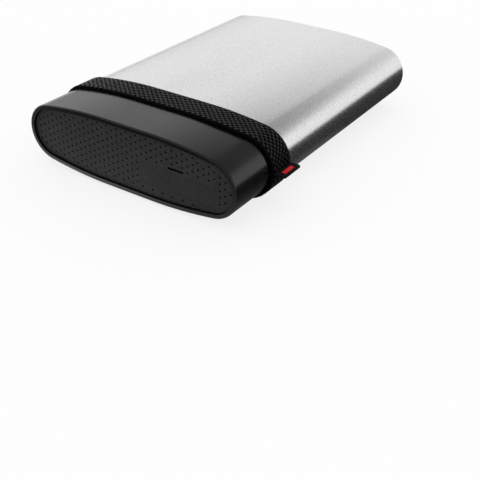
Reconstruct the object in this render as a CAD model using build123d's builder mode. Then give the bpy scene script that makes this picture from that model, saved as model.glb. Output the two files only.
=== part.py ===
from build123d import *
from math import acos, atan2, cos, degrees, sin, sqrt
import os

os.makedirs("parts", exist_ok=True)

# Disk inside, a standard 2.5 inch unit (mm)
disk_width = 69.85
disk_length = 100.2
disk_height = 9.5

# Room round the disk, which sets the size of the case
side_room = 7.075
height_room = 7.15
rear_room = 1.1

# Case section and walls
flat_width = 18.0
side_radius = 10.0
sleeve_wall = 1.8
edge_break = 0.3

# Cap, panel and rear plate
cap_nose = 17.2
rim_width = 1.5
rim_round = 0.45
panel_recess = 1.0
panel_floor = 1.0
nose_wall = 2.6
spigot_length = 8.0
spigot_wall = 1.4
groove_offset = 2.5
groove_width = 1.8
groove_depth = 0.7
plate_recess = 0.6
plate_thickness = 1.5
plate_seal = 1.0
seal_lip = 2.0

# Strap and tag
strap_width = 10.0
strap_proud = 1.05
strap_seat = 0.28
tag_reach = 3.9
tag_width = 10.6
tag_thickness = 0.65
tag_rise = 0.05
tag_corner = 1.5

# Port cover and light, placed from the middle of the end
port_x = 19.35
port_drop = 3.2
cover_width = 29.7
cover_height = 7.6
cover_thickness = 1.2
cover_corner = 2.0
cover_lead = 0.5
boss_depth = 0.5
boss_margin = 0.45
light_length = 6.0
light_height = 0.8
light_gap = 1.05
light_shift = -0.57
light_recess = 0.35

# Port, a standard rectangular socket
port_width = 13.1
port_height = 5.7
port_length = 11.0
port_wall = 0.4
port_corner = 0.8
port_clear = 1.05
tongue_base = 2.5
tongue_setback = 0.5
tongue_margin = 0.6
tongue_thickness = 1.84
tongue_rise = 0.9
contact_width = 1.0
contact_thickness = 0.2
contact_pitch = 2.3

# Bridge board with its chip and light
board_thickness = 1.0
board_inset = 4.5
chip_width = 6.0
chip_height = 0.9
led_width = 1.5
led_height = 0.7
pipe_side = 1.15

# Disk plug and the socket that takes it
plug_edge = 4.8
signal_width = 10.4
power_width = 20.6
blade_space = 2.4
blade_thickness = 1.2
blade_rise = 2.8
blade_length = 2.8
notch_depth = 6.5
notch_height = 5.0
socket_reach = 5.0

# Disk case and board
disk_wall = 2.2
front_wall = 8.5
lid_thickness = 0.6
board_recess = 1.3
recess_length = 60.0
base_floor = 1.2
cavity_corner = 6.0
shaft_radius = 2.0
screw_radius = 0.8
screw_length = 3.0
screw_head = 1.6
screw_head_height = 0.5
screw_inset = 3.0
disk_chip_width = 9.0
disk_chip_height = 0.35
disk_chip_x = 22.0
disk_chip_y = 30.0

# Platter, arm and magnets
platter_room = 1.2
platter_thickness = 0.8
hub_radius = 10.0
flange_radius = 11.5
arm_hub = 5.0
arm_neck = 4.5
arm_thickness = 0.6
head_tip = 1.2
head_inner = 8.35
park_gap = 3.5
coil_reach = 8.5
coil_radius = 3.2
coil_rim = 0.7
coil_eye = 1.1
yoke_radius = 12.6
yoke_side = 4.1
yoke_length = 19.0
yoke_depth = 11.4
ramp_length = 3.0

# Clearances
fit_gap = 0.15
soft_gap = 0.05
cover_gap = 0.1
pocket_clear = 0.2
running_gap = 0.4

# Case size and stations along Y, front to rear
pocket_depth = cover_thickness + pocket_clear
panel_thickness = pocket_depth + panel_floor
body_width = disk_width + 2 * side_room
body_height = disk_height + 2 * height_room
body_length = (panel_recess + pocket_depth + fit_gap + port_length + port_clear + disk_length
               + rear_room + plate_thickness + plate_recess)
axis_height = body_height / 2
front_y = -body_length / 2
rear_y = body_length / 2
panel_front = front_y + panel_recess
panel_back = panel_front + panel_thickness
pocket_floor = panel_front + pocket_depth
shell_front = pocket_floor + fit_gap
shell_back = shell_front + port_length
disk_front = shell_back + port_clear
disk_back = disk_front + disk_length
disk_middle = (disk_front + disk_back) / 2
plate_back = rear_y - plate_recess
plate_front = plate_back - plate_thickness
strap_front = front_y + cap_nose + fit_gap
strap_back = strap_front + strap_width
seam_y = strap_back + fit_gap
spigot_inset = sleeve_wall + fit_gap
spigot_inner = spigot_inset + spigot_wall
spigot_end = seam_y + spigot_length


def oval(inset):
    # Body section drawn about its middle: flats, shallow crowns and round sides, all tangent
    half_flat = flat_width / 2
    half_width = body_width / 2
    half_height = body_height / 2
    reach = half_width - half_flat - side_radius
    crown = (reach**2 + half_height**2 - side_radius**2) / (body_height - 2 * side_radius)
    turn = atan2(reach, crown - half_height)
    drop = crown - half_height
    join = (half_flat + (crown - inset) * sin(turn), (crown - inset) * cos(turn) - drop)
    middle = (half_flat + (crown - inset) * sin(turn / 2), (crown - inset) * cos(turn / 2) - drop)
    top = half_height - inset
    side = half_width - inset
    with BuildSketch() as section:
        with BuildLine():
            Line((0, top), (half_flat, top))
            ThreePointArc((half_flat, top), middle, join)
            ThreePointArc(join, (side, 0), (join[0], -join[1]))
            ThreePointArc((join[0], -join[1]), (middle[0], -middle[1]), (half_flat, -top))
            Line((half_flat, -top), (0, -top))
            mirror(about=Plane.YZ)
        make_face()
    return section.sketch


def station(y):
    # Plane across the body at y, drawn in X and Z about the middle, facing the front
    return Plane(origin=(0, y, axis_height), x_dir=(1, 0, 0), z_dir=(0, -1, 0))


# Sleeve
with BuildPart() as sleeve:
    with BuildSketch(station(rear_y)):
        add(oval(0))
        add(oval(sleeve_wall), mode=Mode.SUBTRACT)
    extrude(amount=rear_y - seam_y)
    chamfer(sleeve.faces().sort_by(Axis.Y)[-1].edges(), edge_break)
sleeve.part.label = "sleeve"
export_step(sleeve.part, "parts/sleeve.step")

# Rear plate and the seal that holds its edge
with BuildPart() as rear_plate:
    with BuildSketch(station(plate_back)):
        add(oval(sleeve_wall + plate_seal))
    extrude(amount=plate_thickness)
    chamfer(rear_plate.faces().sort_by(Axis.Y)[-1].edges(), edge_break)
rear_plate.part.label = "rear_plate"
export_step(rear_plate.part, "parts/rear_plate.step")

with BuildPart() as rear_seal:
    with BuildSketch(station(plate_back - edge_break)):
        add(oval(sleeve_wall + soft_gap))
        add(oval(sleeve_wall + plate_seal - soft_gap), mode=Mode.SUBTRACT)
    extrude(amount=plate_thickness - edge_break + soft_gap)
    with BuildSketch(station(plate_front - soft_gap)):
        add(oval(sleeve_wall + soft_gap))
        add(oval(sleeve_wall + plate_seal + seal_lip), mode=Mode.SUBTRACT)
    extrude(amount=rear_room - 2 * soft_gap)
rear_seal.part.label = "rear_seal"
export_step(rear_seal.part, "parts/rear_seal.step")

# End cap: nose, strap seat and spigot, hollow, with a ledge for the panel and a groove for the seal
groove_front = seam_y + groove_offset
groove_back = groove_front + groove_width
with BuildPart() as end_cap:
    with BuildSketch(station(front_y + cap_nose)):
        add(oval(0))
    extrude(amount=cap_nose)
    fillet(end_cap.faces().sort_by(Axis.Y)[0].edges(), rim_round)
    with BuildSketch(station(seam_y)):
        add(oval(strap_seat))
    extrude(amount=seam_y - front_y - cap_nose)
    with BuildSketch(station(spigot_end)):
        add(oval(spigot_inset))
    extrude(amount=spigot_length)
    with BuildSketch(station(panel_back)):
        add(oval(rim_width))
    extrude(amount=panel_back - front_y, mode=Mode.SUBTRACT)
    with BuildSketch(station(seam_y - spigot_wall)):
        add(oval(nose_wall))
    extrude(amount=seam_y - spigot_wall - panel_back, mode=Mode.SUBTRACT)
    with BuildSketch(station(spigot_end)):
        add(oval(spigot_inner))
    extrude(amount=spigot_end - panel_back, mode=Mode.SUBTRACT)
    with BuildSketch(station(groove_back)):
        add(oval(spigot_inset))
        add(oval(spigot_inset + groove_depth), mode=Mode.SUBTRACT)
    extrude(amount=groove_width, mode=Mode.SUBTRACT)
end_cap.part.label = "end_cap"
export_step(end_cap.part, "parts/end_cap.step")

with BuildPart() as cap_seal:
    with BuildSketch(station(groove_back - soft_gap)):
        add(oval(sleeve_wall + soft_gap))
        add(oval(spigot_inset + groove_depth - soft_gap), mode=Mode.SUBTRACT)
    extrude(amount=groove_width - 2 * soft_gap)
cap_seal.part.label = "cap_seal"
export_step(cap_seal.part, "parts/cap_seal.step")

# End panel with the cover's pocket, the port's window and the light's slot
light_x = port_x + light_shift
light_rise = cover_height / 2 - port_drop + light_gap
with BuildPart() as end_panel:
    with BuildSketch(station(panel_back)):
        add(oval(rim_width + fit_gap))
    extrude(amount=panel_thickness)
    with BuildSketch(station(pocket_floor)):
        with Locations((port_x, -port_drop)):
            RectangleRounded(cover_width + 2 * cover_gap, cover_height + 2 * cover_gap, cover_corner + cover_gap)
    extrude(amount=pocket_depth, mode=Mode.SUBTRACT)
    with BuildSketch(station(panel_back)):
        with Locations((port_x, -port_drop)):
            Rectangle(port_width + 2 * fit_gap, port_height + 2 * fit_gap)
        with Locations((light_x, light_rise)):
            SlotOverall(light_length, light_height)
    extrude(amount=panel_thickness, mode=Mode.SUBTRACT)
end_panel.part.label = "end_panel"
export_step(end_panel.part, "parts/end_panel.step")

# Port cover, flush with the panel, hinged along its lower front edge. Its back edge is cut back to swing clear,
# and a boss goes into the port's mouth
inner_width = port_width - 2 * port_wall
inner_height = port_height - 2 * port_wall
with BuildPart() as port_cover:
    with BuildSketch(station(panel_front + cover_thickness)):
        with Locations((port_x, -port_drop)):
            RectangleRounded(cover_width, cover_height, cover_corner)
    extrude(amount=cover_thickness)
    chamfer(port_cover.faces().sort_by(Axis.Y)[-1].edges(), cover_lead)
    with BuildSketch(station(panel_front + cover_thickness + boss_depth)):
        with Locations((port_x, -port_drop)):
            Rectangle(inner_width - 2 * boss_margin, inner_height - 2 * boss_margin)
    extrude(amount=boss_depth)
port_cover.part.label = "port_cover"
export_step(port_cover.part, "parts/port_cover.step")

# Strap, a slit band whose two ends meet at the tag
with BuildPart() as strap:
    with BuildSketch(station(strap_back)):
        add(oval(-strap_proud))
        add(oval(strap_seat - soft_gap), mode=Mode.SUBTRACT)
        with Locations((body_width / 2, tag_rise)):
            Rectangle(side_radius, tag_thickness + 2 * soft_gap, mode=Mode.SUBTRACT)
    extrude(amount=strap_width)
strap.part.label = "strap"
export_step(strap.part, "parts/strap.step")

tag_root = body_width / 2 - strap_seat + soft_gap
tag_neck = body_width / 2 + strap_proud + soft_gap
tag_tip = tag_neck + tag_reach
tag_low = axis_height + tag_rise - tag_thickness / 2
strap_middle = (strap_front + strap_back) / 2
with BuildPart() as tag:
    with BuildSketch(Plane.XY.offset(tag_low)):
        with Locations(((tag_root + tag_neck) / 2, strap_middle)):
            Rectangle(tag_neck - tag_root, strap_width)
        with Locations(((tag_neck + tag_tip) / 2, strap_middle)):
            Rectangle(tag_tip - tag_neck, tag_width)
    extrude(amount=tag_thickness)
    fillet(tag.edges().filter_by(Axis.Z).group_by(Axis.X)[-1], tag_corner)
tag.part.label = "tag"
export_step(tag.part, "parts/tag.step")

# Rubber frames that hold the disk, one in the cap's spigot and one at the rear
with BuildPart() as front_ring:
    with BuildSketch(station(spigot_end)):
        add(oval(spigot_inner + soft_gap))
        Rectangle(disk_width + 2 * soft_gap, disk_height + 2 * soft_gap, mode=Mode.SUBTRACT)
    extrude(amount=spigot_length + spigot_wall)
front_ring.part.label = "front_ring"
export_step(front_ring.part, "parts/front_ring.step")

with BuildPart() as rear_ring:
    with BuildSketch(station(disk_back - rear_room)):
        add(oval(sleeve_wall + soft_gap))
        Rectangle(disk_width + 2 * soft_gap, disk_height + 2 * soft_gap, mode=Mode.SUBTRACT)
    extrude(amount=spigot_length + spigot_wall)
rear_ring.part.label = "rear_ring"
export_step(rear_ring.part, "parts/rear_ring.step")

# Port: folded shell, tongue and contact strips
with BuildPart() as port_shell:
    with BuildSketch(station(shell_back)):
        with Locations((port_x, -port_drop)):
            RectangleRounded(port_width, port_height, port_corner)
            RectangleRounded(inner_width, inner_height, port_corner - port_wall, mode=Mode.SUBTRACT)
    extrude(amount=port_length)
port_shell.part.label = "port_shell"
export_step(port_shell.part, "parts/port_shell.step")

with BuildPart() as port_tongue:
    with BuildSketch(station(shell_back)):
        with Locations((port_x, -port_drop)):
            RectangleRounded(inner_width - 2 * soft_gap, inner_height - 2 * soft_gap, port_corner - port_wall)
    extrude(amount=tongue_base)
    with BuildSketch(station(shell_back - tongue_base)):
        with Locations((port_x, tongue_rise - port_drop)):
            Rectangle(inner_width - 2 * tongue_margin, tongue_thickness)
    extrude(amount=port_length - tongue_base - tongue_setback)
port_tongue.part.label = "port_tongue"
export_step(port_tongue.part, "parts/port_tongue.step")

contact_rise = tongue_rise - port_drop - (tongue_thickness + contact_thickness) / 2
with BuildPart() as port_contacts:
    with BuildSketch(station(shell_back - tongue_base)):
        with Locations((port_x, contact_rise)):
            with GridLocations(contact_pitch, contact_pitch, 4, 1):
                Rectangle(contact_width, contact_thickness)
    extrude(amount=port_length - tongue_base - 2 * tongue_setback)
port_contacts.part.label = "port_contacts"
export_step(port_contacts.part, "parts/port_contacts.step")

# Bridge board under the port, with its chip and status light
board_top = axis_height - port_drop - port_height / 2 - soft_gap
board_low = board_top - board_thickness
board_front = panel_back + running_gap
board_back = disk_front - running_gap
board_middle = (board_front + board_back) / 2
with BuildPart() as bridge_board:
    with BuildSketch(Plane.XY.offset(board_low)):
        with Locations((0, board_middle)):
            Rectangle(disk_width - 2 * board_inset, board_back - board_front)
    extrude(amount=board_thickness)
bridge_board.part.label = "bridge_board"
export_step(bridge_board.part, "parts/bridge_board.step")

with BuildPart() as bridge_chip:
    with BuildSketch(Plane.XY.offset(board_low - chip_height)):
        with Locations((0, board_middle)):
            Rectangle(chip_width, chip_width)
    extrude(amount=chip_height)
bridge_chip.part.label = "bridge_chip"
export_step(bridge_chip.part, "parts/bridge_chip.step")

led_x = port_x - port_width / 2 - pipe_side - led_width / 2
led_y = board_front + led_width / 2
with BuildPart() as status_light:
    with BuildSketch(Plane.XY.offset(board_top)):
        with Locations((led_x, led_y)):
            Rectangle(led_width, led_width)
    extrude(amount=led_height)
status_light.part.label = "status_light"
export_step(status_light.part, "parts/status_light.step")

# Light pipe: bar in the slot, arm behind the panel and leg down to the status light
pipe_height = light_height - 2 * soft_gap
pipe_low = axis_height + light_rise - pipe_height / 2
pipe_left = led_x - led_width / 2
pipe_right = light_x + light_length / 2 - light_height
leg_foot = board_top + led_height + fit_gap
with BuildPart() as light_pipe:
    with BuildSketch(station(board_front)):
        with Locations((light_x, light_rise)):
            SlotOverall(light_length - 2 * soft_gap, pipe_height)
    extrude(amount=board_front - panel_front - light_recess)
    with BuildSketch(Plane.XY.offset(pipe_low)):
        with Locations(((pipe_left + pipe_right) / 2, led_y)):
            Rectangle(pipe_right - pipe_left, led_width)
    extrude(amount=pipe_height)
    with BuildSketch(Plane.XY.offset(leg_foot)):
        with Locations((led_x, led_y)):
            Rectangle(led_width, led_width)
    extrude(amount=pipe_low - leg_foot)
light_pipe.part.label = "light_pipe"
export_step(light_pipe.part, "parts/light_pipe.step")

# Disk plug in a notch of the disk, and the socket on the bridge board that takes it
disk_low = axis_height - disk_height / 2
plug_span = signal_width + blade_space + power_width
plug_x = plug_edge + (plug_span - disk_width) / 2
signal_x = plug_x - (plug_span - signal_width) / 2
power_x = plug_x + (plug_span - power_width) / 2
blade_z = disk_low + blade_rise - axis_height
plug_front = disk_front + running_gap + blade_length
plug_back = disk_front + notch_depth - fit_gap
with BuildPart() as disk_plug:
    with BuildSketch(Plane.XY.offset(disk_low + running_gap)):
        with Locations((plug_x, (plug_front + plug_back) / 2)):
            Rectangle(plug_span, plug_back - plug_front)
    extrude(amount=notch_height - running_gap - fit_gap)
    with BuildSketch(station(plug_front)):
        with Locations((signal_x, blade_z)):
            Rectangle(signal_width, blade_thickness)
        with Locations((power_x, blade_z)):
            Rectangle(power_width, blade_thickness)
    extrude(amount=blade_length)
disk_plug.part.label = "disk_plug"
export_step(disk_plug.part, "parts/disk_plug.step")

socket_front = disk_front - socket_reach
socket_back = plug_front - running_gap
with BuildPart() as disk_socket:
    with BuildSketch(Plane.XY.offset(board_top)):
        with Locations((plug_x, (socket_front + socket_back) / 2)):
            Rectangle(plug_span + 2 * running_gap, socket_back - socket_front)
    extrude(amount=disk_low + notch_height - running_gap - board_top)
    with BuildSketch(station(socket_back)):
        with Locations((signal_x, blade_z)):
            Rectangle(signal_width + running_gap, blade_thickness + running_gap)
        with Locations((power_x, blade_z)):
            Rectangle(power_width + running_gap, blade_thickness + running_gap)
    extrude(amount=blade_length + running_gap, mode=Mode.SUBTRACT)
disk_socket.part.label = "disk_socket"
export_step(disk_socket.part, "parts/disk_socket.step")

# Disk case: cast base with two shafts, flat cover, screws, and the board underneath
cavity_floor = disk_low + board_recess + base_floor
cavity_top = disk_low + disk_height - lid_thickness
cavity_front = disk_front + front_wall
cavity_back = disk_back - disk_wall
cavity_width = disk_width - 2 * disk_wall
cavity_length = cavity_back - cavity_front
platter_radius = cavity_width / 2 - platter_room
spindle_y = cavity_back - platter_room - platter_radius
pivot_x = yoke_radius + yoke_side - cavity_width / 2
pivot_y = cavity_front + yoke_radius + running_gap
recess_front = disk_front + notch_depth + running_gap
recess_middle = recess_front + recess_length / 2
screw_x = disk_width - 2 * screw_inset
screw_y = disk_length - 2 * screw_inset
with BuildPart() as disk_base:
    with BuildSketch(Plane.XY.offset(disk_low)):
        with Locations((0, disk_middle)):
            RectangleRounded(disk_width, disk_length, disk_wall)
    extrude(amount=disk_height - lid_thickness)
    with BuildSketch(Plane.XY.offset(cavity_floor)):
        with Locations((0, (cavity_front + cavity_back) / 2)):
            RectangleRounded(cavity_width, cavity_length, cavity_corner)
    extrude(amount=cavity_top - cavity_floor, mode=Mode.SUBTRACT)
    with BuildSketch(Plane.XY.offset(disk_low)):
        with Locations((0, recess_middle)):
            Rectangle(cavity_width, recess_length)
    extrude(amount=board_recess, mode=Mode.SUBTRACT)
    with BuildSketch(Plane.XY.offset(disk_low)):
        with Locations((plug_x, disk_front + notch_depth / 2)):
            Rectangle(plug_span + 4 * running_gap, notch_depth)
    extrude(amount=notch_height, mode=Mode.SUBTRACT)
    with BuildSketch(Plane.XY.offset(cavity_top - screw_length)):
        with Locations((0, disk_middle)):
            with GridLocations(screw_x, screw_y, 2, 2):
                Circle(screw_radius + soft_gap)
    extrude(amount=screw_length, mode=Mode.SUBTRACT)
    with BuildSketch(Plane.XY.offset(cavity_floor)):
        with Locations((0, spindle_y), (pivot_x, pivot_y)):
            Circle(shaft_radius)
    extrude(amount=cavity_top - soft_gap - cavity_floor)
disk_base.part.label = "disk_base"
export_step(disk_base.part, "parts/disk_base.step")

with BuildPart() as disk_cover:
    with BuildSketch(Plane.XY.offset(cavity_top)):
        with Locations((0, disk_middle)):
            RectangleRounded(disk_width - 2 * fit_gap, disk_length - 2 * fit_gap, disk_wall)
            with GridLocations(screw_x, screw_y, 2, 2):
                Circle(screw_head + fit_gap, mode=Mode.SUBTRACT)
    extrude(amount=lid_thickness)
disk_cover.part.label = "disk_cover"
export_step(disk_cover.part, "parts/disk_cover.step")

with BuildPart() as cover_screws:
    with BuildSketch(Plane.XY.offset(cavity_top)):
        with Locations((0, disk_middle)):
            with GridLocations(screw_x, screw_y, 2, 2):
                Circle(screw_head)
    extrude(amount=screw_head_height)
    with BuildSketch(Plane.XY.offset(cavity_top - screw_length + fit_gap)):
        with Locations((0, disk_middle)):
            with GridLocations(screw_x, screw_y, 2, 2):
                Circle(screw_radius)
    extrude(amount=screw_length - fit_gap)
cover_screws.part.label = "cover_screws"
export_step(cover_screws.part, "parts/cover_screws.step")

disk_board_low = disk_low + disk_chip_height + soft_gap
with BuildPart() as disk_board:
    with BuildSketch(Plane.XY.offset(disk_board_low)):
        with Locations((0, recess_middle)):
            Rectangle(cavity_width - 2 * running_gap, recess_length - 2 * running_gap)
    extrude(amount=disk_low + board_recess - soft_gap - disk_board_low)
disk_board.part.label = "disk_board"
export_step(disk_board.part, "parts/disk_board.step")

with BuildPart() as disk_chips:
    with BuildSketch(Plane.XY.offset(disk_low + soft_gap)):
        with Locations((0, recess_middle)):
            with GridLocations(disk_chip_x, disk_chip_y, 2, 2):
                Rectangle(disk_chip_width, disk_chip_width)
    extrude(amount=disk_chip_height)
disk_chips.part.label = "disk_chips"
export_step(disk_chips.part, "parts/disk_chips.step")

# Platter on its hub, which turns on the base's shaft
platter_low = (cavity_floor + cavity_top - platter_thickness) / 2
platter_high = platter_low + platter_thickness
bore_radius = shaft_radius + soft_gap
with BuildPart() as platter:
    with BuildSketch(Plane.XY.offset(platter_low)):
        with Locations((0, spindle_y)):
            Circle(platter_radius)
            Circle(hub_radius, mode=Mode.SUBTRACT)
    extrude(amount=platter_thickness)
platter.part.label = "platter"
export_step(platter.part, "parts/platter.step")

with BuildPart() as spindle_hub:
    with BuildSketch(Plane.XY.offset(cavity_floor + running_gap)):
        with Locations((0, spindle_y)):
            Circle(flange_radius)
            Circle(bore_radius, mode=Mode.SUBTRACT)
    extrude(amount=platter_low - cavity_floor - running_gap)
    with BuildSketch(Plane.XY.offset(platter_low)):
        with Locations((0, spindle_y)):
            Circle(hub_radius - soft_gap)
            Circle(bore_radius, mode=Mode.SUBTRACT)
    extrude(amount=platter_thickness)
    with BuildSketch(Plane.XY.offset(platter_high)):
        with Locations((0, spindle_y)):
            Circle(flange_radius)
            Circle(bore_radius, mode=Mode.SUBTRACT)
    extrude(amount=platter_thickness)
spindle_hub.part.label = "spindle_hub"
export_step(spindle_hub.part, "parts/spindle_hub.step")

# Actuator arm, drawn parked clear of the platter, with its coil between two magnet yokes
pivot_span = sqrt(pivot_x**2 + (spindle_y - pivot_y)**2)
arm_reach = pivot_span - head_inner
park_radius = platter_radius + park_gap
park_swing = acos((pivot_span**2 + arm_reach**2 - park_radius**2) / (2 * pivot_span * arm_reach))
park_angle = atan2(-pivot_x, spindle_y - pivot_y) + park_swing
head_spot = (pivot_x + arm_reach * sin(park_angle), pivot_y + arm_reach * cos(park_angle))
coil_spot = (pivot_x - coil_reach * sin(park_angle), pivot_y - coil_reach * cos(park_angle))
with BuildPart() as actuator_arm:
    with BuildSketch(Plane.XY.offset(cavity_floor + running_gap)):
        with Locations((pivot_x, pivot_y)):
            Circle(arm_hub)
    extrude(amount=cavity_top - cavity_floor - 2 * running_gap)
    for arm_low in (platter_low - running_gap - arm_thickness, platter_high + running_gap):
        with BuildSketch(Plane.XY.offset(arm_low)):
            with Locations((pivot_x, pivot_y)):
                Circle(arm_neck)
            with Locations(head_spot):
                Circle(head_tip)
            make_hull()
        extrude(amount=arm_thickness)
    with BuildSketch(Plane.XY.offset(platter_low)):
        with Locations((pivot_x, pivot_y)):
            Circle(arm_neck)
        with Locations(coil_spot):
            Circle(coil_radius)
        make_hull()
    extrude(amount=platter_thickness)
    with BuildSketch(Plane.XY.offset(cavity_floor)):
        with Locations((pivot_x, pivot_y)):
            Circle(bore_radius)
        with Locations(coil_spot):
            Circle(coil_radius - coil_rim)
    extrude(amount=cavity_top - cavity_floor, mode=Mode.SUBTRACT)
actuator_arm.part.label = "actuator_arm"
export_step(actuator_arm.part, "parts/actuator_arm.step")

with BuildPart() as voice_coil:
    with BuildSketch(Plane.XY.offset(platter_low)):
        with Locations(coil_spot):
            Circle(coil_radius - coil_rim - soft_gap)
            Circle(coil_eye, mode=Mode.SUBTRACT)
    extrude(amount=platter_thickness)
voice_coil.part.label = "voice_coil"
export_step(voice_coil.part, "parts/voice_coil.step")

# The yokes cover the coil's sweep, half of the arm's swing to each side of their middle
inner_swing = acos((pivot_span**2 + arm_reach**2 - (flange_radius + head_inner / 2)**2)
                   / (2 * pivot_span * arm_reach))
yoke_angle = park_angle - (park_swing - inner_swing) / 2
yoke_middle = yoke_radius - yoke_depth / 2
yoke_spot = (pivot_x - yoke_middle * sin(yoke_angle), pivot_y - yoke_middle * cos(yoke_angle))
lower_yoke = (cavity_floor, platter_low - running_gap)
upper_yoke = (platter_high + running_gap, cavity_top - soft_gap)
with BuildPart() as magnet_yokes:
    for yoke_low, yoke_high in (lower_yoke, upper_yoke):
        with BuildSketch(Plane.XY.offset(yoke_low)):
            with Locations((pivot_x, pivot_y)):
                Circle(yoke_radius)
                Circle(arm_hub + running_gap, mode=Mode.SUBTRACT)
            with Locations(Location((yoke_spot[0], yoke_spot[1]), -degrees(yoke_angle))):
                Rectangle(yoke_length, yoke_depth, mode=Mode.INTERSECT)
        extrude(amount=yoke_high - yoke_low)
magnet_yokes.part.label = "magnet_yokes"
export_step(magnet_yokes.part, "parts/magnet_yokes.step")

ramp_reach = arm_reach + head_tip + running_gap + ramp_length / 2
ramp_spot = (pivot_x + ramp_reach * sin(park_angle), pivot_y + ramp_reach * cos(park_angle))
with BuildPart() as head_ramp:
    with BuildSketch(Plane.XY.offset(cavity_floor)):
        with Locations(Location((ramp_spot[0], ramp_spot[1]), -degrees(park_angle))):
            Rectangle(ramp_length, ramp_length)
    extrude(amount=platter_high + running_gap - cavity_floor)
head_ramp.part.label = "head_ramp"
export_step(head_ramp.part, "parts/head_ramp.step")
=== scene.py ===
import math
import bmesh
import bpy
from mathutils import Matrix, Vector


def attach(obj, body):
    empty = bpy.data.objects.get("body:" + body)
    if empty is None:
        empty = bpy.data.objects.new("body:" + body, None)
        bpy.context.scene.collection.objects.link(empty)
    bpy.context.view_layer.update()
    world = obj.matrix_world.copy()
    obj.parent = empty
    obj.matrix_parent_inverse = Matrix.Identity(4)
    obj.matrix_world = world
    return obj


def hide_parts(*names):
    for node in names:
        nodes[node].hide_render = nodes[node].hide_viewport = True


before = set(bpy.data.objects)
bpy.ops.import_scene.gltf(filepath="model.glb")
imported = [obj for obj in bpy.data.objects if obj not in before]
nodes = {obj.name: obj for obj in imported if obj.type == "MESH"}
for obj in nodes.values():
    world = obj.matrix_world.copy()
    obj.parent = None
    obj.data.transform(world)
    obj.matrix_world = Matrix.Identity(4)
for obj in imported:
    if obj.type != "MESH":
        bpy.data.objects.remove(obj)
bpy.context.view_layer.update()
mm = 0.001  # the sizes below are in millimetres


def feed(tree, node, values):
    # a value is a socket, a node that stands for its first output, or a plain value
    for name, value in values.items():
        if isinstance(value, bpy.types.Node):
            value = value.outputs[0]
        if isinstance(value, bpy.types.NodeSocket):
            tree.links.new(value, node.inputs[name])
        else:
            node.inputs[name].default_value = value


def addNode(tree, kind, inputs=None, **props):
    node = tree.nodes.new(kind)
    for name, value in props.items():
        setattr(node, name, value)
    feed(tree, node, inputs or {})
    return node


def newGroup(name, kind, takes, gives):
    tree = bpy.data.node_groups.new(name, kind)
    for label, socketType, start in takes:
        socket = tree.interface.new_socket(label, in_out="INPUT", socket_type="NodeSocket" + socketType)
        if start is not None:
            socket.default_value = start
    for label, socketType in gives:
        tree.interface.new_socket(label, in_out="OUTPUT", socket_type="NodeSocket" + socketType)
    return tree, tree.nodes.new("NodeGroupInput").outputs, tree.nodes.new("NodeGroupOutput")


def calc(tree, operation, first, second=0.0, third=0.0):
    return addNode(tree, "ShaderNodeMath", {0: first, 1: second, 2: third}, operation=operation).outputs[0]


def vectorCalc(tree, operation, first, second=(0.0, 0.0, 0.0)):
    return addNode(tree, "ShaderNodeVectorMath", {0: first, 1: second}, operation=operation)


def wave(tree, turns):  # from 0 to 1 and back in every turn
    swing = calc(tree, "SINE", calc(tree, "MULTIPLY", turns, 2 * math.pi))
    return calc(tree, "MULTIPLY_ADD", swing, 0.5, 0.5)


def mixTone(tree, share, dark, light):
    return addNode(tree, "ShaderNodeMix", {0: share, 6: dark, 7: light}, data_type="RGBA").outputs[2]


def objectPlace(tree):
    return addNode(tree, "ShaderNodeTexCoord").outputs["Object"]


def newMaterial(name, **sockets):
    material = bpy.data.materials.new(name)
    material.use_nodes = True
    tree = material.node_tree
    shader = tree.nodes["Principled BSDF"]
    feed(tree, shader, {label.replace("_", " "): value for label, value in sockets.items()})
    return material, tree, shader


def grey(value, warm=0.0):
    return (value * (1 + warm), value, value * (1 - warm), 1)


# fine grain with slow clouds: what moulded plastic, blasted metal and rubber share
grainSet = {"detail": 2.0, "roughness": 0.6, "cloudDetail": 3.0, "low": 0.6, "high": 1.4}


def makeGrainGroup():
    s = grainSet
    tree, given, result = newGroup("surfaceGrain", "ShaderNodeTree", [
        ("Dark Tone", "Color", grey(0.1)), ("Light Tone", "Color", grey(0.2)),
        ("Grain Size", "Float", 0.2 * mm), ("Cloud Size", "Float", 20 * mm), ("Cloud Share", "Float", 1.0),
        ("Rough Low", "Float", 0.3), ("Rough High", "Float", 0.4), ("Stretch", "Vector", (1.0, 1.0, 1.0))],
        [("Color", "Color"), ("Roughness", "Float"), ("Height", "Float")])
    place = objectPlace(tree)
    grain = addNode(tree, "ShaderNodeTexNoise", {
        "Vector": vectorCalc(tree, "MULTIPLY", place, given["Stretch"]), "Detail": s["detail"],
        "Scale": calc(tree, "DIVIDE", 1.0, given["Grain Size"]), "Roughness": s["roughness"]}).outputs["Fac"]
    cloud = addNode(tree, "ShaderNodeTexNoise", {
        "Vector": place, "Scale": calc(tree, "DIVIDE", 1.0, given["Cloud Size"]),
        "Detail": s["cloudDetail"]}).outputs["Fac"]
    slow = calc(tree, "MULTIPLY_ADD", calc(tree, "SUBTRACT", cloud, 0.5), given["Cloud Share"], 0.5)
    span = {"Value": calc(tree, "ADD", grain, slow), "From Min": s["low"], "From Max": s["high"]}
    share = addNode(tree, "ShaderNodeMapRange", span)
    rough = addNode(tree, "ShaderNodeMapRange", {
        **span, "To Min": given["Rough Low"], "To Max": given["Rough High"]})
    tone = mixTone(tree, share, given["Dark Tone"], given["Light Tone"])
    feed(tree, result, {"Color": tone, "Roughness": rough, "Height": grain})
    return tree


grainGroup = makeGrainGroup()


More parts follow.
